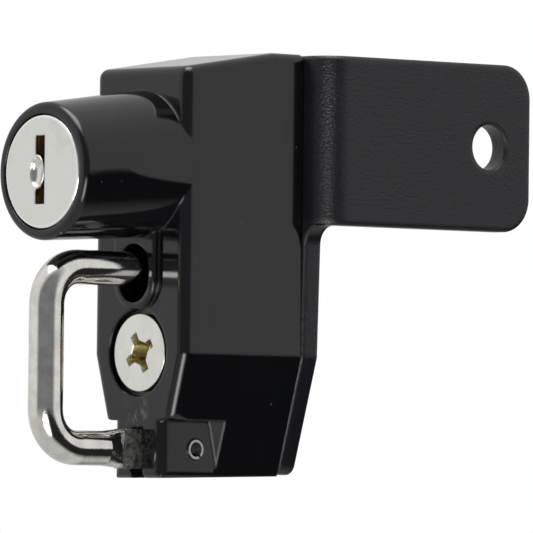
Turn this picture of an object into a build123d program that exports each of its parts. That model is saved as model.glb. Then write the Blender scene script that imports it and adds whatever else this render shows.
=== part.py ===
from build123d import *
import math
import os

# Keyed bail lock on a bolt-on bracket, in millimetres.
# Body frame: X across the housing, Y from its front to its back, Z up.
# X = 0 is the housing's mid-plane, Y = 0 its back face and Z = 0 its foot.

# housing
body_width = 18.2
body_depth = 20.0
body_height = 52.8
top_rise = 2.4
top_flat = 4.5
top_corner_radius = 1.3
bottom_rise = 0.45
front_edge_radius = 1.4
taper_start = 15.9
taper_angle = 16.3
pocket_height = 7.45
pocket_depth = 9.0
pocket_slant = 0.75
pocket_lean = 1.65
shoulder_radius = 2.4
shoulder_radius_back = 0.1
shoulder_round_length = 3.0

# lock boss and plug
plug_axis_height = 38.9
boss_reach = 16.4
boss_front_diameter = 17.6
boss_base_diameter = 19.0
boss_base_rise = 1.5
boss_edge_radius = 0.8
plug_diameter = 12.0
plug_running_gap = 0.04
cap_diameter = 14.65
cap_gap = 0.15
cap_floor_gap = 0.1
cap_edge_radius = 0.3
cap_face = 0.6
cap_skirt = 2.0
cap_wall = 0.6
keyway_width = 1.85
keyway_height = 8.8
keyway_shift = -0.38
keyway_rise = 0.25
ward_half_height = 2.2
ward_reach = 1.5
ward_depth = 1.1
ward_wall = 0.3
ward_gap = 0.05
ward_inset = 0.2

# wafers
wafer_count = 6
wafer_pitch = 2.4
wafer_thickness = 0.9
wafer_width = 6.4
wafer_window_width = 3.4
wafer_window_height = 6.9
wafer_cuts = (0.5, -0.4, 0.2, -0.6, 0.4, -0.2)
wafer_slot_gap = 0.1
wafer_side_gap = 0.1
wafer_end_gap = 0.05
wafer_ear = 0.9
groove_depth = 0.8
groove_lead = 1.0
first_wafer_inset = 4.45
spring_diameter = 1.2
spring_wire = 0.26
spring_length = 3.4
spring_turns = 5
spring_offset = 4.0
spring_drop = 2.9
spring_gap = 0.06
spring_room = 1.6

# cylinder tail, drive pin and bolt
clip_thickness = 0.8
clip_width = 13.2
clip_core_diameter = 8.0
clip_mouth_margin = 0.6
tail_flange_diameter = 9.6
tail_flange_thickness = 1.1
drive_pin_diameter = 2.2
drive_pin_root = 0.3
tail_gap = 0.3
bolt_travel = 3.0
bolt_thickness = 2.4
bolt_plate_width = 9.0
bolt_plate_margin = 1.2
bolt_tongue_width = 5.0
bolt_gap = 0.1
bolt_slot_clearance = 0.13
bolt_engagement = 1.55
bolt_tip_gap = 0.3

# back cover
cover_width = 15.0
cover_height = 20.6
cover_thickness = 1.2
cover_corner_radius = 2.0
cover_gap = 0.1
cover_seat_gap = 0.05
mechanism_bore = 14.0
cover_screw_diameter = 2.0
cover_screw_head = 3.6
cover_screw_length = 6.0
cover_screw_inset = 2.0

# bail
wire_diameter = 4.5
bail_bend_radius = 4.9
bail_bar_reach = 15.3
bail_upper_height = 26.9
bail_lower_height = 3.75
bail_tip_depth = 9.5
bail_notch_width = 3.0
eye_thickness = 2.5
eye_height = 5.1
eye_flat_reach = 2.7
eye_flat_blend = 3.2
hinge_depth = 5.8
hinge_pin_diameter = 2.5
hinge_pin_bore = 1.9
hinge_pin_proud = 0.25
hinge_pin_gap = 0.05
hinge_slot_gap = 0.05
hinge_eye_gap = 0.2
hinge_swing_gap = 0.45
hinge_pin_slit = 0.3
hinge_pin_slit_turn = 215.0
foot_width = 9.6
foot_edge_radius = 0.8

# socket for the bail's free leg
collar_raise = 0.9
collar_width = 8.1
collar_edge_radius = 0.4
socket_width = 6.1
socket_drop = 4.35
socket_top = 30.2
socket_depth = 10.6

# mounting screw
screw_diameter = 5.0
screw_head_diameter = 10.0
screw_head_height = 2.5
screw_length = 22.0
screw_height = 16.15
screw_sink = 0.3
screw_rim = 0.6
screw_seat_gap = 0.1
screw_recess_turn = -28.0
screw_recess_width = 1.25
screw_recess_span = 5.4
screw_recess_core = 3.0
screw_recess_depth = 2.4
screw_recess_taper = 14.0
screw_clearance_bore = 5.5
counterbore_diameter = 11.4
counterbore_depth = 0.9

# bracket
plate_thickness = 2.7
plate_overhang = 0.5
plate_overhang_middle = 0.1
plate_overhang_foot = 0.0
plate_foot = 0.65
bend_inner_radius = 1.3
tab_end = 36.0
tab_bottom = 33.0
tab_top = 55.0
tab_corner_radius = 4.5
tab_hole_diameter = 6.0
tab_hole_depth = 28.6
tab_hole_height = 44.05
notch_radius = 2.5
plate_top_radius = 2.4
plate_foot_radius = 1.9
bracket_edge_radius = 0.45

# locating pegs
peg_diameter = 3.0
peg_length = 2.0
peg_gap = 0.1
peg_heights = (8.0, 51.5)

# values worked out from the sizes above
half_width = body_width / 2
front = -body_depth
boss_front = front - boss_reach
bore_radius = plug_diameter / 2 + plug_running_gap
cap_back = boss_front + cap_skirt
bolt_mid = front + 5.9
bolt_front = bolt_mid - bolt_thickness / 2
bolt_back = bolt_mid + bolt_thickness / 2
tail_end = bolt_front - tail_gap
clip_back = tail_end - tail_flange_thickness
clip_front = clip_back - clip_thickness
bore_end = clip_front - cap_floor_gap
last_wafer = boss_front + first_wafer_inset + (wafer_count - 1) * wafer_pitch
keyway_end = last_wafer + 1.0
drive_offset = bolt_travel / math.sqrt(2)
drive_place = drive_offset / math.sqrt(2)
wire_radius = wire_diameter / 2
leg_top = bail_upper_height + wire_radius
bolt_low = leg_top - bolt_engagement + bolt_travel
bolt_floor = bolt_low - 0.2
notch_floor = leg_top - bolt_engagement - bolt_tip_gap
hinge_y = front + hinge_depth
tip_y = front + bail_tip_depth
bar_y = front - bail_bar_reach
eye_radius = eye_height / 2
slot_width = eye_thickness + 2 * hinge_slot_gap
slot_top = bail_lower_height + eye_radius + hinge_eye_gap
slot_back = hinge_y + eye_radius + hinge_swing_gap
collar_front = front - collar_raise
socket_low = bail_upper_height - socket_drop + socket_width / 2
bend_outer_radius = bend_inner_radius + plate_thickness
tab_face = half_width + plate_overhang + bend_outer_radius
cover_mid = plug_axis_height
pocket_half = foot_width / 2
cover_screw_x = cover_width / 2 - cover_screw_inset
cover_screw_z = cover_height / 2 - cover_screw_inset
cover_screw_places = (
    (-cover_screw_x, cover_mid + cover_screw_z),
    (cover_screw_x, cover_mid - cover_screw_z),
)

os.makedirs("parts", exist_ok=True)
origin_shift = Location((-tab_face, -tab_hole_depth, -tab_hole_height))


def save(shape, name):
    """Writes one piece with the origin at the bracket's bolt hole."""
    export_step(origin_shift * shape, "parts/" + name + ".step")


def block(x0, x1, y0, y1, z0, z1):
    solid = Box(x1 - x0, y1 - y0, z1 - z0)
    return Pos((x0 + x1) / 2, (y0 + y1) / 2, (z0 + z1) / 2) * solid


def rod(radius, y0, y1, x=0.0, z=0.0):
    """A cylinder along Y."""
    return Pos(x, (y0 + y1) / 2, z) * Rot(90, 0, 0) * Cylinder(radius, y1 - y0)


def cone(radius_front, radius_back, y0, y1, x=0.0, z=0.0):
    """A cone along Y."""
    solid = Cone(radius_back, radius_front, y1 - y0)
    return Pos(x, (y0 + y1) / 2, z) * Rot(90, 0, 0) * solid


def cross_rod(radius, x0, x1, y, z):
    """A cylinder along X."""
    return Pos((x0 + x1) / 2, y, z) * Rot(0, 90, 0) * Cylinder(radius, x1 - x0)


def front_prism(sketch, y0, y1):
    """Pushes a sketch drawn as X and Z from y0 to y1."""
    return Pos(0, y1, 0) * extrude(Rot(90, 0, 0) * sketch, y1 - y0)


def side_prism(sketch):
    """Pushes a sketch drawn as Y and Z right across the housing."""
    return Pos(-half_width - 1, 0, 0) * extrude(Plane.YZ * sketch, body_width + 2)


def tapered_outline(grow, low, high):
    """The housing's outline seen from the front, grown by a margin."""
    side = half_width + grow
    shrink = (taper_start - low) * math.tan(math.radians(taper_angle))
    points = [
        (-side + shrink, low),
        (side - shrink, low),
        (side, taper_start),
        (side, high),
        (-side, high),
        (-side, taper_start),
    ]
    return make_face(Polyline(*points, close=True))


def build_boss():
    """The lock boss: a cone whose axis climbs towards the housing."""
    reach = boss_reach
    tilt = math.degrees(math.atan2(boss_base_rise, reach))
    growth = (boss_base_diameter - boss_front_diameter) / 2 / reach
    ahead = 3.0
    length = reach + 2 * ahead
    small = boss_front_diameter / 2 - ahead * growth
    large = boss_base_diameter / 2 + ahead * growth
    solid = Rot(90, 0, 0) * Cone(large, small, length)
    middle = Pos(0, front - reach / 2, plug_axis_height + boss_base_rise / 2)
    body = middle * Rot(tilt, 0, 0) * solid
    limit = block(-half_width, half_width, boss_front, front + 1, 0, body_height + 5)
    body = body & limit
    rim = body.faces().sort_by(Axis.Y)[0].edges()
    return fillet(rim, boss_edge_radius)


def shoulder_corner(side, radius):
    """What a round of this radius takes off the shoulder's outer corner, as X and Z."""
    slope = math.radians(taper_angle)
    corner_x = half_width - (taper_start - pocket_height) * math.tan(slope)
    centre_x = corner_x - radius * (1 - math.sin(slope)) / math.cos(slope)
    centre_z = pocket_height + radius
    low = (side * centre_x, pocket_height)
    high = (side * (centre_x + radius * math.cos(slope)), centre_z - radius * math.sin(slope))
    lean = (math.radians(-90) - slope) / 2
    middle = (side * (centre_x + radius * math.cos(lean)), centre_z + radius * math.sin(lean))
    corner = (side * corner_x, pocket_height)
    return make_face(Wire([Line(low, corner), Line(corner, high), ThreePointArc(high, middle, low)]))


def build_shoulder_round(side):
    """The round on the shoulder's outer corner, fading away behind the front face."""
    faces = []
    for y, radius in (
        (front, shoulder_radius),
        (front + shoulder_round_length, shoulder_radius_back),
    ):
        faces.append(Pos(0, y, 0) * Rot(90, 0, 0) * shoulder_corner(side, radius))
    return loft(faces)


def pocket_section(side, lean):
    """The corner pocket seen from above, with its back wall moved back by the lean."""
    wall = front + pocket_depth + lean
    slant = pocket_slant * (half_width - pocket_half)
    return make_face(
        Polyline(
            (side * pocket_half, front - 1),
            (side * (half_width + 1), front - 1),
            (side * (half_width + 1), wall + slant),
            (side * pocket_half, wall - 1),
            close=True,
        )
    )


def build_foot_rounds():
    """What the rounds take off the foot's lower edges, at its front and sides."""
    radius = foot_edge_radius
    wall = front + pocket_depth + pocket_lean * (1 - radius / pocket_height)
    front_round = Pos(front + radius / 2, radius / 2) * Rectangle(radius, radius)
    front_round = front_round - Pos(front + radius, radius) * Circle(radius)
    rounds = side_prism(front_round)
    for side in (-1, 1):
        side_round = Pos(side * (pocket_half - radius / 2), radius / 2) * Rectangle(radius, radius)
        side_round = side_round - Pos(side * (pocket_half - radius), radius) * Circle(radius)
        rounds = rounds + front_prism(side_round, front, wall - 1)
    return rounds


def build_shell():
    """The die-cast body before its holes are made."""
    top = body_height + top_rise
    outline = tapered_outline(0.0, 0.0, top)
    shell = front_prism(outline, front, 0)
    wedge = Polyline(
        (front, body_height), (-top_flat, top), (-top_flat, top + 5), (front, top + 5), close=True
    )
    shell = shell - side_prism(make_face(wedge))
    top_edges = shell.edges().filter_by(Axis.Y, tolerance=15).sort_by(Axis.Z)[-4:]
    shell = fillet(top_edges, top_corner_radius)
    front_face = shell.faces().sort_by(Axis.Y)[0]
    rim = front_face.edges().sort_by(Axis.Z)[1:]
    shell = fillet(rim, front_edge_radius)
    for side in (-1, 1):
        low = Plane.XY * pocket_section(side, pocket_lean)
        high = Plane.XY.offset(pocket_height) * pocket_section(side, 0)
        shell = shell - loft([low, high])
        bend = side * (pocket_half - front_edge_radius)
        square = Pos(bend, front) * Rectangle(2 * front_edge_radius, 2 * front_edge_radius)
        square = square - Pos(bend - side * body_width / 2, front) * Rectangle(body_width, body_depth)
        corner = square - Pos(bend, front + front_edge_radius) * Circle(front_edge_radius)
        shell = shell - extrude(corner, pocket_height)
        shell = shell - build_shoulder_round(side)
    foot = block(-pocket_half, pocket_half, front, front + pocket_depth, 0, pocket_height)
    corners = foot.edges().filter_by(Axis.Z).group_by(Axis.Y)[0]
    shell = shell + fillet(corners, front_edge_radius)
    shell = shell - build_foot_rounds()
    draft = Polyline((front, 0), (0, bottom_rise), (0, -1), (front, -1), close=True)
    return shell - side_prism(make_face(draft))


def build_housing():
    shell = build_shell() + build_boss()

    # raised collar round the bail socket, running up into the boss
    collar = front_prism(stadium(collar_width, socket_low, plug_axis_height), collar_front, front + 0.5)
    collar = fillet(collar.faces().sort_by(Axis.Y)[0].edges(), collar_edge_radius)
    shell = shell + collar
    socket = stadium(socket_width, socket_low, socket_top - socket_width / 2)
    shell = shell - front_prism(socket, collar_front - 1, front + socket_depth)

    # cylinder bore, cap recess and the grooves that the wafers lock in
    recess_end = cap_back + cap_floor_gap
    shell = shell - rod(cap_diameter / 2 + cap_gap, boss_front - 1, recess_end, z=plug_axis_height)
    shell = shell - rod(bore_radius, boss_front, bore_end, z=plug_axis_height)
    groove_start = boss_front + first_wafer_inset - groove_lead
    groove_half = wafer_width / 2 + 2 * wafer_side_gap
    shell = shell - block(
        -groove_half,
        groove_half,
        groove_start,
        bore_end,
        plug_axis_height - bore_radius - groove_depth,
        plug_axis_height + bore_radius + groove_depth,
    )

    # mechanism bore from the back, bolt channel and cover recess
    shell = shell - rod(mechanism_bore / 2, bore_end, 0, z=plug_axis_height)
    channel_half = bolt_tongue_width / 2 + bolt_gap
    shell = shell - block(
        -channel_half, channel_half, bolt_front - bolt_gap, 0, bolt_floor, plug_axis_height
    )
    shell = shell - block(
        -channel_half,
        channel_half,
        bolt_front - bolt_gap,
        bolt_back + bolt_gap,
        bail_upper_height,
        plug_axis_height,
    )
    shell = shell - front_prism(cover_outline(cover_gap), -cover_thickness - cover_seat_gap, 0)
    for x, z in cover_screw_places:
        shell = shell - rod(cover_screw_diameter / 2, -cover_screw_length - 0.5, 0, x=x, z=z)

    # mounting screw
    seat = front + screw_sink
    shell = shell - rod(screw_clearance_bore / 2, front, 0, z=screw_height)
    shell = shell - rod(counterbore_diameter / 2, front - 1, seat + counterbore_depth, z=screw_height)
    cone_radius = screw_head_diameter / 2 + screw_seat_gap
    cone_start = seat + screw_rim
    cone_end = cone_start + cone_radius - screw_clearance_bore / 2
    shell = shell - cone(cone_radius, screw_clearance_bore / 2, cone_start, cone_end, z=screw_height)

    # slot and bore for the bail's hinge
    shell = shell - block(-slot_width / 2, slot_width / 2, front - 1, slot_back, -1, slot_top)
    shell = shell - cross_rod(
        hinge_pin_diameter / 2, -half_width, half_width, hinge_y, bail_lower_height
    )

    # locating pegs
    for z in peg_heights:
        shell = shell + rod(peg_diameter / 2, -1, peg_length, z=z)
    return shell


def stadium(width, low, high):
    """A slot shape drawn as X and Z, with round ends centred at low and high."""
    middle = Pos(0, (low + high) / 2) * Rectangle(width, high - low)
    return middle + Pos(0, low) * Circle(width / 2) + Pos(0, high) * Circle(width / 2)


def cover_outline(grow):
    shape = RectangleRounded(
        cover_width + 2 * grow, cover_height + 2 * grow, cover_corner_radius + grow
    )
    return Pos(0, cover_mid) * shape


def build_cover():
    plate = front_prism(cover_outline(0.0), -cover_thickness, 0)
    block_front = bolt_back + bolt_gap
    core = rod(mechanism_bore / 2 - cover_gap, block_front, -cover_thickness, z=plug_axis_height)
    channel_half = bolt_tongue_width / 2
    key = block(
        -channel_half, channel_half, block_front, -cover_thickness, bolt_floor + 0.1, plug_axis_height
    )
    guide_top = plug_axis_height + drive_place - bolt_travel
    guide_top = guide_top - drive_pin_diameter / 2 - bolt_plate_margin - bolt_slot_clearance - 0.3
    ribs = block(
        -bolt_plate_width / 2,
        bolt_plate_width / 2,
        bolt_front + 0.3,
        block_front,
        bolt_floor + 1.5,
        guide_top,
    )
    ribs = ribs & rod(mechanism_bore / 2 - cover_gap, bolt_front, block_front, z=plug_axis_height)
    gap_half = bolt_tongue_width / 2 + bolt_gap
    ribs = ribs - block(-gap_half, gap_half, bolt_front, block_front, 0, plug_axis_height)
    cover = plate + core + key + ribs
    head = (cover_screw_head - cover_screw_diameter) / 2
    for x, z in cover_screw_places:
        cover = cover - rod(cover_screw_diameter / 2, -cover_thickness - 1, 1, x=x, z=z)
        cover = cover - cone(
            cover_screw_diameter / 2, cover_screw_head / 2, -head, 0, x=x, z=z
        )
    return cover


def build_cover_screw(place):
    x, z = place
    head = (cover_screw_head - cover_screw_diameter) / 2
    screw = rod(cover_screw_diameter / 2, -cover_screw_length, -head, x=x, z=z)
    screw = screw + cone(cover_screw_diameter / 2, cover_screw_head / 2, -head, 0, x=x, z=z)
    for turn in (0, 90):
        slit = Box(2.0, 1.2, 0.5)
        screw = screw - Pos(x, 0, z) * Rot(0, turn, 0) * slit
    return screw


def build_bracket():
    foot_half = half_width - (taper_start - plate_foot) * math.tan(math.radians(taper_angle))
    corners = [
        (foot_half + plate_overhang_foot, plate_foot),
        (half_width + plate_overhang_middle, taper_start),
        (half_width + plate_overhang, tab_bottom - notch_radius),
        (half_width + plate_overhang, tab_top),
    ]
    mirrored = [(-x, z) for x, z in reversed(corners)]
    plate = front_prism(make_face(Polyline(*corners, *mirrored, close=True)), 0, plate_thickness)
    far_corner = plate.edges().filter_by(Axis.Y).group_by(Axis.Z)[-1].sort_by(Axis.X)[0]
    plate = fillet(far_corner, plate_top_radius)
    low_edges = plate.edges().filter_by(Axis.Y).group_by(Axis.Z)[0]
    plate = fillet(low_edges, plate_foot_radius)
    plate = fillet(plate.faces().sort_by(Axis.Y)[0].edges(), bracket_edge_radius)

    # bend and tab, drawn as X and Y and pushed up
    edge = half_width + plate_overhang
    inner = edge + bend_inner_radius
    path = make_face(
        Polyline((0, 0), (edge, 0), (edge, plate_thickness), (0, plate_thickness), close=True)
    )
    centre = Pos(edge, bend_outer_radius)
    ring = Circle(bend_outer_radius) - Circle(bend_inner_radius)
    quarter = Pos(bend_outer_radius / 2, -bend_outer_radius / 2) * Rectangle(
        bend_outer_radius, bend_outer_radius
    )
    bend = centre * (ring & quarter)
    tab = make_face(
        Polyline(
            (inner, bend_outer_radius),
            (tab_face, bend_outer_radius),
            (tab_face, tab_end),
            (inner, tab_end),
            close=True,
        )
    )
    bent = extrude(path + bend + tab, tab_top - tab_bottom)
    bent = Pos(0, 0, tab_bottom) * bent
    corners = bent.edges().filter_by(Axis.X).filter_by_position(Axis.Y, tab_end - 0.1, tab_end + 0.1)
    bent = fillet(corners, tab_corner_radius)
    inside = bent.edges().filter_by(Axis.Z) + bent.faces().sort_by(Axis.X)[0].edges()
    bent = fillet([edge for edge in bent.edges() if edge not in inside], bracket_edge_radius)

    # rounded inner corner where the tab's lower edge meets the plate
    web = block(edge, edge + notch_radius, 0, plate_thickness, tab_bottom - notch_radius, tab_bottom)
    web = web - rod(
        notch_radius, -1, plate_thickness + 1, x=edge + notch_radius, z=tab_bottom - notch_radius
    )
    bend_limit = extrude(path + bend + tab, tab_top)
    web = web & bend_limit
    bracket = plate + bent + web
    bracket = bracket - cross_rod(
        tab_hole_diameter / 2, half_width, tab_face + 1, tab_hole_depth, tab_hole_height
    )
    bracket = bracket - rod(screw_diameter / 2, -1, plate_thickness + 1, z=screw_height)
    for z in peg_heights:
        bracket = bracket - rod(peg_diameter / 2 + peg_gap, -1, plate_thickness + 1, z=z)
    return bracket


def build_screw():
    top = front + screw_sink
    under = top + screw_rim
    neck = under + screw_head_height
    screw = rod(screw_head_diameter / 2, top, under, z=screw_height)
    screw = screw + cone(screw_head_diameter / 2, screw_diameter / 2, under, neck, z=screw_height)
    screw = screw + rod(screw_diameter / 2, under, top + screw_length, z=screw_height)
    wide = Rectangle(screw_recess_span, screw_recess_width)
    tall = Rectangle(screw_recess_width, screw_recess_span)
    core = Rot(0, 0, 45) * Rectangle(screw_recess_core, screw_recess_core)
    recess = extrude(wide + tall + core, screw_recess_depth, taper=screw_recess_taper)
    recess = Pos(0, top, screw_height) * Rot(0, screw_recess_turn, 0) * Rot(-90, 0, 0) * recess
    return screw - recess


def build_bail():
    radius = bail_bend_radius
    upper = bail_upper_height
    lower = bail_lower_height
    flat_start = front - eye_flat_reach
    arc_mid = radius * (1 - math.sqrt(0.5))
    top_run = Line((0, tip_y, upper), (0, bar_y + radius, upper))
    top_bend = ThreePointArc(
        (0, bar_y + radius, upper),
        (0, bar_y + arc_mid, upper - arc_mid),
        (0, bar_y, upper - radius),
    )
    bar = Line((0, bar_y, upper - radius), (0, bar_y, lower + radius))
    low_bend = ThreePointArc(
        (0, bar_y, lower + radius),
        (0, bar_y + arc_mid, lower + arc_mid),
        (0, bar_y + radius, lower),
    )
    low_run = Line((0, bar_y + radius, lower), (0, flat_start, lower))
    path = Wire([top_run, top_bend, bar, low_bend, low_run])
    section = Plane((0, tip_y, upper), z_dir=(0, -1, 0)) * Circle(wire_radius)
    bail = sweep(section, path=path)
    tip_edge = bail.faces().sort_by(Axis.Y)[-1].edges()
    bail = chamfer(tip_edge, 0.5)

    # the lower end is pressed flat and ends in a round eye
    eye_half = eye_thickness / 2
    flat = block(
        -eye_half, eye_half, flat_start, hinge_y, lower - eye_radius, lower + eye_radius
    )
    flat = flat + cross_rod(eye_radius, -eye_half, eye_half, hinge_y, lower)
    round_end = Plane((0, flat_start - eye_flat_blend, lower), x_dir=(1, 0, 0), z_dir=(0, 1, 0))
    flat_end = Plane((0, flat_start, lower), x_dir=(1, 0, 0), z_dir=(0, 1, 0))
    blend = loft(
        [round_end * Circle(wire_radius), flat_end * RectangleRounded(eye_thickness, eye_height, 0.9)]
    )
    wire_cut = block(-5, 5, flat_start - eye_flat_blend, flat_start + 1, lower - 4, lower + 4)
    bail = (bail - wire_cut) + blend + flat
    bail = bail - cross_rod(
        hinge_pin_diameter / 2 + hinge_pin_gap, -half_width, half_width, hinge_y, lower
    )

    # notch that the bolt drops into
    notch = block(
        -wire_diameter,
        wire_diameter,
        bolt_mid - bail_notch_width / 2,
        bolt_mid + bail_notch_width / 2,
        notch_floor,
        upper + wire_diameter,
    )
    return bail - notch


def build_hinge_pin():
    reach = pocket_half + hinge_pin_proud
    pin = cross_rod(hinge_pin_diameter / 2, -reach, reach, hinge_y, bail_lower_height)
    pin = pin - cross_rod(hinge_pin_bore / 2, -half_width, half_width, hinge_y, bail_lower_height)
    half = hinge_pin_slit / 2
    slit = block(-half_width, half_width, -half, half, 0, hinge_pin_diameter)
    return pin - Pos(0, hinge_y, bail_lower_height) * Rot(hinge_pin_slit_turn, 0, 0) * slit


def keyway(y0, y1):
    half = keyway_width / 2
    return block(
        keyway_shift - half,
        keyway_shift + half,
        y0,
        y1,
        plug_axis_height + keyway_rise - keyway_height / 2,
        plug_axis_height + keyway_rise + keyway_height / 2,
    )


def ward(reach, depth, half_height):
    """The dished ward pressed into the left side of the keyway."""
    dish = scale(Sphere(1.0), by=(reach, depth, half_height))
    middle = keyway_shift - keyway_width / 2 + ward_inset
    return Pos(middle, boss_front, plug_axis_height) * dish


def build_cap():
    z = plug_axis_height
    cap = rod(cap_diameter / 2, boss_front, cap_back, z=z)
    rim = cap.edges().filter_by(GeomType.CIRCLE).sort_by(Axis.Y)[0]
    cap = fillet(rim, cap_edge_radius)
    cap = cap - rod(cap_diameter / 2 - cap_wall, boss_front + cap_face, cap_back + 1, z=z)
    cap = cap - keyway(boss_front - 1, boss_front + cap_face + 1)
    outside = ward(ward_reach, ward_depth, ward_half_height)
    outside = outside & block(-4, 4, boss_front, boss_front + 4, z - 4, z + 4)
    inside = ward(ward_reach - ward_wall, ward_depth - ward_wall, ward_half_height - ward_wall)
    return cap + outside - inside


def wafer_place(index):
    return boss_front + first_wafer_inset + index * wafer_pitch


def build_plug():
    z = plug_axis_height
    plug = rod(cap_diameter / 2 - cap_wall, boss_front + cap_face, cap_back, z=z)
    plug = plug + rod(plug_diameter / 2, cap_back, clip_front, z=z)
    plug = plug + rod(clip_core_diameter / 2, clip_front, clip_back, z=z)
    plug = plug + rod(tail_flange_diameter / 2, clip_back, tail_end, z=z)
    plug = plug - keyway(boss_front, keyway_end)
    plug = plug - ward(ward_reach + ward_gap, ward_depth + ward_gap, ward_half_height + ward_gap)
    slot_half = (wafer_thickness + wafer_slot_gap) / 2
    for index in range(wafer_count):
        y = wafer_place(index)
        half = wafer_width / 2 + wafer_side_gap
        reach = plug_diameter
        plug = plug - block(-half, half, y - slot_half, y + slot_half, z - reach, z + reach)
        spring_half = spring_diameter / 2 + spring_gap
        plug = plug - block(
            wafer_width / 2,
            spring_offset + spring_half,
            y - spring_half,
            y + spring_half,
            z - spring_drop,
            z - spring_drop + spring_length + spring_room,
        )
    x = drive_place
    root = keyway_end + drive_pin_root
    return plug - rod(drive_pin_diameter / 2, root, tail_end + 1, x=x, z=z + x)


def build_wafer(index):
    y = wafer_place(index)
    z = plug_axis_height
    half = wafer_thickness / 2
    back = wafer_slot_gap / 2
    wafer = block(-wafer_width / 2, wafer_width / 2, y - half + back, y + half + back, z - 8, z + 8)
    wafer = wafer & rod(plug_diameter / 2 - wafer_end_gap, y - 1, y + 1, z=z)
    ear_low = z - spring_drop + spring_length
    ear_end = spring_offset + spring_diameter / 2
    ear_start = wafer_width / 2 - 2 * wafer_side_gap
    ear_high = ear_low + wafer_ear
    wafer = wafer + block(ear_start, ear_end, y - half + back, y + half + back, ear_low, ear_high)
    window = Box(wafer_window_width, 3, wafer_window_height)
    return wafer - Pos(0, y, z + wafer_cuts[index]) * window


def build_wafer_spring(index):
    y = wafer_place(index)
    low = plug_axis_height - spring_drop
    mean = (spring_diameter - spring_wire) / 2
    height = spring_length - spring_wire
    line = Helix(height / spring_turns, height, mean)
    start = line @ 0
    direction = line % 0
    section = Plane(origin=start, z_dir=direction) * Circle(spring_wire / 2)
    coil = sweep(section, path=line)
    return Pos(spring_offset, y, low + spring_wire / 2) * coil


def build_clip():
    z = plug_axis_height
    clip = rod(clip_width / 2, clip_front, clip_back, z=z)
    clip = clip - rod(clip_core_diameter / 2, clip_front - 1, clip_back + 1, z=z)
    mouth_half = clip_core_diameter / 2 - clip_mouth_margin
    mouth = block(-mouth_half, mouth_half, clip_front - 1, clip_back + 1, z, z + clip_width)
    return clip - mouth


def build_drive_pin():
    x = drive_place
    z = plug_axis_height + x
    pin = rod(drive_pin_diameter / 2, keyway_end + drive_pin_root, bolt_back - bolt_gap, x=x, z=z)
    edge = pin.edges().filter_by(GeomType.CIRCLE).sort_by(Axis.Y)[-1]
    return chamfer(edge, 0.2)


def build_bolt():
    z = plug_axis_height + drive_place
    reach = drive_pin_diameter / 2 + bolt_slot_clearance
    slot_left = drive_place - reach
    slot_right = drive_offset + reach
    plate_half = bolt_plate_width / 2
    plate_rise = reach + bolt_plate_margin
    plate = block(-plate_half, plate_half, bolt_front, bolt_back, z - plate_rise, z + plate_rise)
    plate = fillet(plate.edges().filter_by(Axis.Y), 0.8)
    tongue_half = bolt_tongue_width / 2
    tongue = block(-tongue_half, tongue_half, bolt_front, bolt_back, bolt_low, z)
    tongue = chamfer(tongue.faces().sort_by(Axis.Z)[0].edges().filter_by(Axis.Y), 0.3)
    bolt = plate + tongue
    slot = block(slot_left, slot_right, bolt_front - 1, bolt_back + 1, z - reach, z + reach)
    return bolt - slot


def main():
    save(build_housing(), "housing")
    save(build_cover(), "back_cover")
    save(build_cover_screw(cover_screw_places[0]), "cover_screw_upper")
    save(build_cover_screw(cover_screw_places[1]), "cover_screw_lower")
    save(build_bracket(), "bracket")
    save(build_screw(), "mounting_screw")
    save(build_bail(), "bail")
    save(build_hinge_pin(), "hinge_pin")
    save(build_cap(), "plug_cap")
    save(build_plug(), "lock_plug")
    for index in range(wafer_count):
        save(build_wafer(index), "wafer_" + str(index + 1))
        save(build_wafer_spring(index), "wafer_spring_" + str(index + 1))
    save(build_clip(), "plug_clip")
    save(build_drive_pin(), "drive_pin")
    save(build_bolt(), "lock_bolt")


main()
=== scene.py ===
import bpy
import math
from mathutils import Matrix, Vector


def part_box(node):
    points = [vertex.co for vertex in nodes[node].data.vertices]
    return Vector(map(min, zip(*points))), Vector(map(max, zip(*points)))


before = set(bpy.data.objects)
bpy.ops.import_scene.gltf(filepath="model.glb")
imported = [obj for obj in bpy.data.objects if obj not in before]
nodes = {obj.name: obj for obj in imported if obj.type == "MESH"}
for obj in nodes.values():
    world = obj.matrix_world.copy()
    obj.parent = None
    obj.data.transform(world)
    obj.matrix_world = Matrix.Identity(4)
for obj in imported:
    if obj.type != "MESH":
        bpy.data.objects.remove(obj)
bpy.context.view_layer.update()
scene = bpy.context.scene
print("frame loaded,", len(nodes), "nodes")

# camera: nearly level, turned towards the key side
view = {
    "azimuth": 48.88,
    "elevation": -1.69,
    "roll": 0.66,
    "distance": 1.142,
    "lens": 593.6,
    "sensor": 36,
    "nearest": 0.05,
    "furthest": 20,
    "target": (-0.0102, -0.0297, -0.01633),
}


def makeCamera():
    turn = math.radians(view["azimuth"])
    lift = math.radians(view["elevation"])
    roll = math.radians(view["roll"])
    level = math.cos(lift)
    back = Vector((math.sin(turn) * level, -math.cos(turn) * level, math.sin(lift)))
    side = Vector((math.cos(turn), math.sin(turn), 0))
    up = back.cross(side)
    right = side * math.cos(roll) + up * math.sin(roll)
    head = up * math.cos(roll) - side * math.sin(roll)
    data = bpy.data.cameras.new("camera")
    data.lens = view["lens"]
    data.sensor_width = view["sensor"]
    data.clip_start = view["nearest"]
    data.clip_end = view["furthest"]
    camera = bpy.data.objects.new("camera", data)
    scene.collection.objects.link(camera)
    place = Vector(view["target"]) + back * view["distance"]
    turned = Matrix((right, head, back)).transposed().to_4x4()
    camera.matrix_world = Matrix.Translation(place) @ turned
    scene.camera = camera
    scene.view_settings.view_transform = "Standard"
    return back


towardsCamera = makeCamera()
print("camera made")


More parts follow.
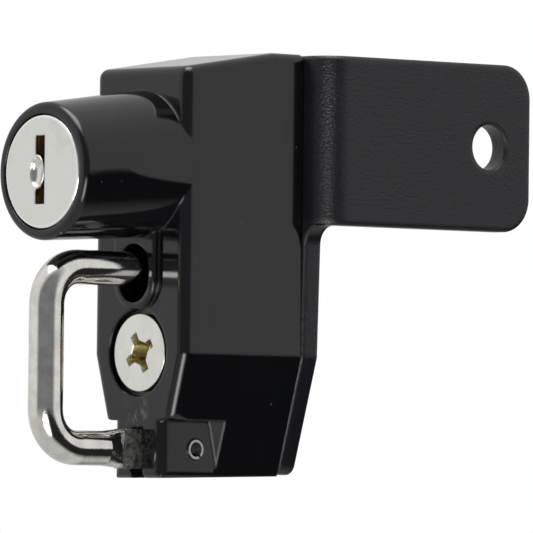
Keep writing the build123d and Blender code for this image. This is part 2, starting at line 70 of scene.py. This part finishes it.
# shader maths: a socket with Python's operators
class Value:
    def __init__(self, paint, socket):
        self.paint = paint
        self.socket = socket

    def maths(self, operation, first, second):
        inputs = {0: first, 1: second}
        return self.paint.node("ShaderNodeMath", {"operation": operation}, inputs)

    def __add__(self, other):
        return self.maths("ADD", self, other)

    def __radd__(self, other):
        return self.maths("ADD", other, self)

    def __sub__(self, other):
        return self.maths("SUBTRACT", self, other)

    def __rsub__(self, other):
        return self.maths("SUBTRACT", other, self)

    def __mul__(self, other):
        return self.maths("MULTIPLY", self, other)

    def __rmul__(self, other):
        return self.maths("MULTIPLY", other, self)


class Paint:
    edgeSamples = 6

    def __init__(self, tree):
        self.tree = tree

    def node(self, kind, settings=None, inputs=None, output=0):
        made = self.tree.nodes.new(kind)
        for name, setting in (settings or {}).items():
            setattr(made, name, setting)
        for name, given in (inputs or {}).items():
            if isinstance(given, Value):
                self.tree.links.new(given.socket, made.inputs[name])
            else:
                made.inputs[name].default_value = given
        return Value(self, made.outputs[output])

    def split(self, vector):
        parts = self.tree.nodes.new("ShaderNodeSeparateXYZ")
        self.tree.links.new(vector.socket, parts.inputs[0])
        return [Value(self, socket) for socket in parts.outputs]

    def place(self):
        return self.node("ShaderNodeTexCoord", output=3)

    def stretch(self, vector, by):
        return self.node("ShaderNodeVectorMath", {"operation": "MULTIPLY"}, {0: vector, 1: by})

    def noise(self, scale, detail, rough, vector=None):
        inputs = {"Vector": vector or self.place(), "Scale": scale}
        inputs.update({"Detail": detail, "Roughness": rough})
        return self.node("ShaderNodeTexNoise", None, inputs)

    # from toLow to toHigh while the value goes from low to high, and no further
    def spread(self, value, low, high, toLow=0.0, toHigh=1.0):
        inputs = {"Value": value, "From Min": low, "From Max": high}
        inputs.update({"To Min": toLow, "To Max": toHigh})
        return self.node("ShaderNodeMapRange", None, inputs)

    def blendColours(self, factor, first, second):
        made = self.tree.nodes.new("ShaderNodeMix")
        made.data_type = "RGBA"
        for index, given in ((0, factor), (6, first), (7, second)):
            if isinstance(given, Value):
                self.tree.links.new(given.socket, made.inputs[index])
            elif index == 0:
                made.inputs[index].default_value = given
            else:
                made.inputs[index].default_value = (*given, 1)
        return Value(self, made.outputs[2])

    def bump(self, height, strength, distance, normal=None):
        inputs = {"Height": height, "Strength": strength, "Distance": distance}
        if normal:
            inputs["Normal"] = normal
        return self.node("ShaderNodeBump", None, inputs)

    def softEdges(self, radius):
        return self.node("ShaderNodeBevel", {"samples": self.edgeSamples}, {"Radius": radius})


def newMaterial(name, fixed, make):
    material = bpy.data.materials.new(name)
    material.use_nodes = True
    tree = material.node_tree
    shader = tree.nodes["Principled BSDF"]
    for socket, given in fixed.items():
        shader.inputs[socket].default_value = given
    paint = Paint(tree)
    for socket, given in make(paint).items():
        tree.links.new(given.socket, shader.inputs[socket])
    return material


def dress(name, material):
    target = nodes[name]
    target.data.materials.clear()
    target.data.materials.append(material)


# gloss black enamel on the die casting: faint orange peel, small chips and scuffs by the hinge
enamel = {
    "dark": (0.0012, 0.0013, 0.0018),
    "light": (0.0028, 0.0030, 0.0040),
    "chip": (0.10, 0.10, 0.095),
    "cloudScale": 90,
    "broadScale": 28,
    "peelScale": 700,
    "peelStrength": 0.22,
    "peelDepth": 0.000006,
    "chipScale": 1500,
    "streakScale": 1900,
    "streakLength": (1.0, 1.0, 0.35),
    "hairScale": 260,
    "hairLength": (9.0, 9.0, 0.6),
    "smoothest": 0.06,
    "dullest": 0.16,
    "edge": 0.0005,
    "scuffLift": 0.0012,
    "scuffReach": 0.0065,
    "scuffFade": 0.0006,
    "scuffHalf": 0.0026,
    "scuffCore": 0.001,
}


def enamelNodes(paint):
    place = paint.place()
    pinLow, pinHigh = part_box("hinge_pin")
    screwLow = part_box("mounting_screw")[0]
    across, depth, height = paint.split(place)
    cloud = paint.noise(enamel["cloudScale"], 4, 0.6)
    broad = paint.noise(enamel["broadScale"], 3, 0.5)
    peel = paint.noise(enamel["peelScale"], 2, 0.5)
    chip = paint.spread(paint.noise(enamel["chipScale"], 1, 0.3), 0.82, 0.84)
    # scuffs on the front, from the hinge slot up to the screw
    low = pinHigh.z + enamel["scuffLift"]
    middle = (pinLow.x + pinHigh.x) / 2
    scuffed = paint.spread(height, low, low + enamel["scuffFade"])
    scuffed = scuffed * paint.spread(height, low + enamel["scuffReach"], low)
    for side in (-1, 1):
        outer = middle + side * enamel["scuffHalf"]
        inner = middle + side * enamel["scuffCore"]
        scuffed = scuffed * paint.spread(across, outer, inner)
    scuffed = scuffed * paint.spread(depth, screwLow.y + 0.002, screwLow.y + 0.001)
    streakPlace = paint.stretch(place, enamel["streakLength"])
    streak = paint.spread(paint.noise(enamel["streakScale"], 2, 0.6, streakPlace), 0.57, 0.63)
    worn = chip * 0.5 + streak * scuffed
    # hairlines that catch the light on the broad faces
    hairPlace = paint.stretch(place, enamel["hairLength"])
    hair = paint.spread(paint.noise(enamel["hairScale"], 1, 0.3, hairPlace), 0.735, 0.75)
    dullness = paint.spread(broad, 0.3, 0.7, enamel["smoothest"], enamel["dullest"])
    colour = paint.blendColours(cloud, enamel["dark"], enamel["light"])
    colour = paint.blendColours(worn, colour, enamel["chip"])
    normal = paint.softEdges(enamel["edge"])
    return {
        "Base Color": colour,
        "Roughness": dullness + hair * 0.12 + worn * 0.3,
        "Normal": paint.bump(peel, enamel["peelStrength"], enamel["peelDepth"], normal),
    }


# thicker paint on the bracket, with coarse orange peel that shows on the bend
bracketPaint = {
    "dark": (0.0030, 0.0031, 0.0044),
    "light": (0.0060, 0.0062, 0.0086),
    "cloudScale": 60,
    "peelScale": 2900,
    "peelStrength": 0.7,
    "peelDepth": 0.00007,
    "grainScale": 5200,
    "smoothest": 0.16,
    "dullest": 0.26,
    "edge": 0.0009,
}


def bracketNodes(paint):
    cloud = paint.noise(bracketPaint["cloudScale"], 4, 0.6)
    peel = paint.noise(bracketPaint["peelScale"], 2, 0.5)
    grain = paint.spread(paint.noise(bracketPaint["grainScale"], 2, 0.6), 0.35, 0.75)
    dullness = paint.spread(cloud, 0.3, 0.75, bracketPaint["smoothest"], bracketPaint["dullest"])
    relief = peel + grain * 0.4
    strength = bracketPaint["peelStrength"]
    normal = paint.softEdges(bracketPaint["edge"])
    return {
        "Base Color": paint.blendColours(cloud, bracketPaint["dark"], bracketPaint["light"]),
        "Roughness": dullness + grain * 0.06,
        "Normal": paint.bump(relief, strength, bracketPaint["peelDepth"], normal),
    }


# polished steel wire, with its pressed eye left rough and scuffed
bail = {
    "bright": (0.80, 0.78, 0.73),
    "smoky": (0.62, 0.61, 0.58),
    "worn": (0.26, 0.25, 0.24),
    "soot": (0.04, 0.04, 0.04),
    "smokeScale": 500,
    "scratchScale": 1400,
    "fineScale": 5200,
    "scratchDepth": 0.00025,
    "polish": 0.06,
    "eyeLength": 0.0089,
    "eyeFade": 0.0007,
    "eyeEnd": 0.00021,
    "eyeHeight": 0.0072,
    "eyeTopFade": 0.0005,
}


def bailNodes(paint):
    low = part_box("bail")[0]
    pinLow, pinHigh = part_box("hinge_pin")
    eyeStart = (pinLow.y + pinHigh.y) / 2 - bail["eyeLength"]
    eyeTop = low.z + bail["eyeHeight"]
    depth, height = paint.split(paint.place())[1:]
    smoke = paint.spread(paint.noise(bail["smokeScale"], 3, 0.6), 0.4, 0.7)
    scratch = paint.noise(bail["scratchScale"], 3, 0.7)
    fine = paint.noise(bail["fineScale"], 2, 0.6)
    eye = paint.spread(depth, eyeStart - bail["eyeFade"], eyeStart + bail["eyeEnd"])
    rough = eye * paint.spread(height, eyeTop, eyeTop - bail["eyeTopFade"])
    colour = paint.blendColours(smoke, bail["bright"], bail["smoky"])
    colour = paint.blendColours(rough * 0.9, colour, bail["worn"])
    colour = paint.blendColours(paint.spread(scratch, 0.42, 0.7) * rough, colour, bail["soot"])
    return {
        "Base Color": colour,
        "Roughness": bail["polish"] + paint.spread(fine, 0.4, 0.8) * 0.1 + rough * 0.34,
        "Normal": paint.bump(scratch * rough + fine * 0.035, 0.8, bail["scratchDepth"]),
    }


# satin stainless face of the cylinder, polished in the dished ward, with a painted highlight ring
# round its edge
faceSteel = {
    "bright": (0.79, 0.79, 0.76),
    "dull": (0.74, 0.735, 0.70),
    "stain": (0.60, 0.59, 0.53),
    "rim": (0.98, 0.97, 0.94),
    "fineScale": 4200,
    "cloudScale": 420,
    "stainScale": 230,
    "grainDepth": 0.00001,
    "rimWidth": 0.00032,
    "rimFade": 1.4,
    "dishStart": 0.00003,
    "dishEnd": 0.00015,
    "satin": 0.26,
    "polish": 0.03,
    "edge": 0.00035,
}


def faceNodes(paint):
    low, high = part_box("plug_cap")
    across, depth, height = paint.split(paint.place())
    middle = (low + high) / 2
    offset = {"X": across - middle.x, "Z": height - middle.z}
    flat = paint.node("ShaderNodeCombineXYZ", None, offset)
    spoke = paint.node("ShaderNodeVectorMath", {"operation": "LENGTH"}, {0: flat}, "Value")
    radius = high.x - middle.x
    width = faceSteel["rimWidth"]
    # painted highlight: mask for a near-white ring just inside the edge of the cap face
    rim = paint.spread(spoke, radius - width * faceSteel["rimFade"], radius - width)
    fine = paint.noise(faceSteel["fineScale"], 3, 0.7)
    cloud = paint.noise(faceSteel["cloudScale"], 3, 0.6)
    stain = paint.spread(paint.noise(faceSteel["stainScale"], 4, 0.7), 0.55, 0.75)
    dished = paint.spread(depth, low.y + faceSteel["dishStart"], low.y + faceSteel["dishEnd"])
    colour = paint.blendColours(cloud, faceSteel["bright"], faceSteel["dull"])
    colour = paint.blendColours(stain * 0.5, colour, faceSteel["stain"])
    # the painted highlight ring is blended into the colour here
    colour = paint.blendColours(rim, colour, faceSteel["rim"])
    dullness = paint.spread(dished, 0, 1, faceSteel["satin"], faceSteel["polish"])
    normal = paint.softEdges(faceSteel["edge"])
    return {
        "Base Color": colour,
        "Roughness": dullness + fine * 0.06,
        "Normal": paint.bump(fine * (1 - dished), 0.05, faceSteel["grainDepth"], normal),
    }


# bright plating of the mounting screw, yellowish down in the recess
plating = {
    "bright": (0.78, 0.78, 0.745),
    "dull": (0.70, 0.69, 0.64),
    "recess": (0.52, 0.46, 0.25),
    "fineScale": 3600,
    "cloudScale": 300,
    "grainDepth": 0.00001,
    "recessStart": 0.0001,
    "recessEnd": 0.0008,
    "polish": 0.14,
    "edge": 0.00022,
}


def platingNodes(paint):
    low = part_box("mounting_screw")[0]
    depth = paint.split(paint.place())[1]
    fine = paint.noise(plating["fineScale"], 3, 0.6)
    cloud = paint.spread(paint.noise(plating["cloudScale"], 3, 0.6), 0.4, 0.8)
    sunk = paint.spread(depth, low.y + plating["recessStart"], low.y + plating["recessEnd"])
    colour = paint.blendColours(cloud, plating["bright"], plating["dull"])
    colour = paint.blendColours(sunk * 0.85, colour, plating["recess"])
    normal = paint.softEdges(plating["edge"])
    return {
        "Base Color": colour,
        "Roughness": plating["polish"] + fine * 0.1 + sunk * 0.1,
        "Normal": paint.bump(fine, 0.06, plating["grainDepth"], normal),
    }


# plain metals of the pieces inside: bright and dull colour, roughness, size of the grain
brass = {"bright": (0.72, 0.52, 0.24), "dull": (0.5, 0.36, 0.17), "rough": 0.25, "grain": 1800}
zinc = {"bright": (0.5, 0.5, 0.52), "dull": (0.35, 0.35, 0.37), "rough": 0.4, "grain": 900}
steel = {"bright": (0.62, 0.62, 0.62), "dull": (0.42, 0.42, 0.42), "rough": 0.25, "grain": 1500}
grainDepth = 0.00001


def metalNodes(kind):
    def make(paint):
        fine = paint.noise(kind["grain"], 3, 0.6)
        cloud = paint.noise(kind["grain"] / 8, 3, 0.6)
        return {
            "Base Color": paint.blendColours(cloud, kind["bright"], kind["dull"]),
            "Roughness": kind["rough"] + fine * 0.2,
            "Normal": paint.bump(fine, 0.2, grainDepth),
        }

    return make


print("making materials")
metal = {"Metallic": 1.0}
enamelMaterial = newMaterial("glossEnamel", {"IOR": 1.49}, enamelNodes)
bracketMaterial = newMaterial("bracketPaint", {"IOR": 1.50}, bracketNodes)
bailMaterial = newMaterial("polishedWire", metal, bailNodes)
faceMaterial = newMaterial("satinStainless", metal, faceNodes)
platingMaterial = newMaterial("brightPlating", metal, platingNodes)
brassMaterial = newMaterial("machinedBrass", metal, metalNodes(brass))
zincMaterial = newMaterial("dieCastZinc", metal, metalNodes(zinc))
steelMaterial = newMaterial("platedSteel", metal, metalNodes(steel))

finishes = {
    "housing": enamelMaterial,
    "bracket": bracketMaterial,
    "bail": bailMaterial,
    "plug_cap": faceMaterial,
    "mounting_screw": platingMaterial,
    "lock_plug": brassMaterial,
    "back_cover": zincMaterial,
    "lock_bolt": zincMaterial,
}
for name in nodes:
    isWafer = name.startswith("wafer") and "spring" not in name
    dress(name, finishes.get(name, brassMaterial if isWafer else steelMaterial))
print("materials on all nodes")

# stage: pale floor, bright room with a dim part behind the camera, one soft light above
stage = {
    "floorHeight": -0.1,
    "floorSize": 6.0,
    "floorColour": (0.9, 0.9, 0.9, 1),
    "floorRoughness": 0.9,
    "lightPlace": (0.05, -0.1, 0.6),
    "lightSize": 0.5,
    "lightPower": 1.5,
}


def makeStage():
    bpy.ops.mesh.primitive_plane_add(size=stage["floorSize"], location=(0, 0, stage["floorHeight"]))
    floor = bpy.context.object
    floor.name = "floor"
    floor.visible_glossy = False
    floor.visible_shadow = False
    material = bpy.data.materials.new("paleFloor")
    material.use_nodes = True
    shader = material.node_tree.nodes["Principled BSDF"]
    shader.inputs["Base Color"].default_value = stage["floorColour"]
    shader.inputs["Roughness"].default_value = stage["floorRoughness"]
    floor.data.materials.append(material)


room = {
    "bright": (0.80, 0.80, 0.80),
    "behindCamera": (0.21, 0.215, 0.225),
    "table": (0.62, 0.62, 0.61),
    "shade": (0.02, 0.02, 0.02),
    "far": (0.70, 0.70, 0.71),
    "backdrop": (1.0, 1.0, 1.0),
    "lampStrength": 12.0,
    "lampTowards": (0.720, -0.580, -0.370),
    "skylightStrength": 4.0,
}


def makeRoom():
    world = bpy.data.worlds.new("room")
    scene.world = world
    world.use_nodes = True
    tree = world.node_tree
    paint = Paint(tree)
    direction = paint.node("ShaderNodeTexCoord", output=0)
    x, y, height = paint.split(direction)
    # how far a direction points towards the camera's side, and across it
    flat = Vector((towardsCamera.x, towardsCamera.y, 0)).normalized()
    across = x * flat.x + y * flat.y
    sideways = y * flat.x - x * flat.y
    colour = paint.blendColours(paint.spread(across, -0.3, -0.7), room["bright"], room["far"])
    colour = paint.blendColours(paint.spread(across, 0.42, 0.68), colour, room["behindCamera"])
    colour = paint.blendColours(paint.spread(height, -0.06, -0.3), colour, room["table"])
    low = paint.spread(height, -0.02, -0.1) * paint.spread(height, -0.8, -0.6)
    colour = paint.blendColours(low * paint.spread(sideways, 0.0, 0.3), colour, room["shade"])
    seen = paint.node("ShaderNodeLightPath")
    colour = paint.blendColours(seen, colour, room["backdrop"])
    # a low lamp in front and a skylight, both with soft edges
    towards = Vector(room["lampTowards"]).normalized()
    lamp = paint.spread(x * towards.x + y * towards.y + height * towards.z, 0.93, 0.965)
    lamp = lamp * paint.spread(height, -0.13, -0.2) * room["lampStrength"]
    skylight = paint.spread(height, 0.86, 0.97) * room["skylightStrength"]
    background = tree.nodes["Background"]
    tree.links.new(colour.socket, background.inputs["Color"])
    strength = 1 + (lamp + skylight) * (1 - seen)
    tree.links.new(strength.socket, background.inputs["Strength"])


def softLight():
    data = bpy.data.lights.new("overhead", "AREA")
    data.shape = "RECTANGLE"
    data.size = stage["lightSize"]
    data.size_y = stage["lightSize"]
    data.energy = stage["lightPower"]
    light = bpy.data.objects.new("overhead", data)
    scene.collection.objects.link(light)
    light.location = stage["lightPlace"]
    aim = Vector(view["target"]) - Vector(stage["lightPlace"])
    light.rotation_mode = "QUATERNION"
    light.rotation_quaternion = aim.to_track_quat("-Z", "Y")


makeStage()
makeRoom()
softLight()
print("stage and lights made")
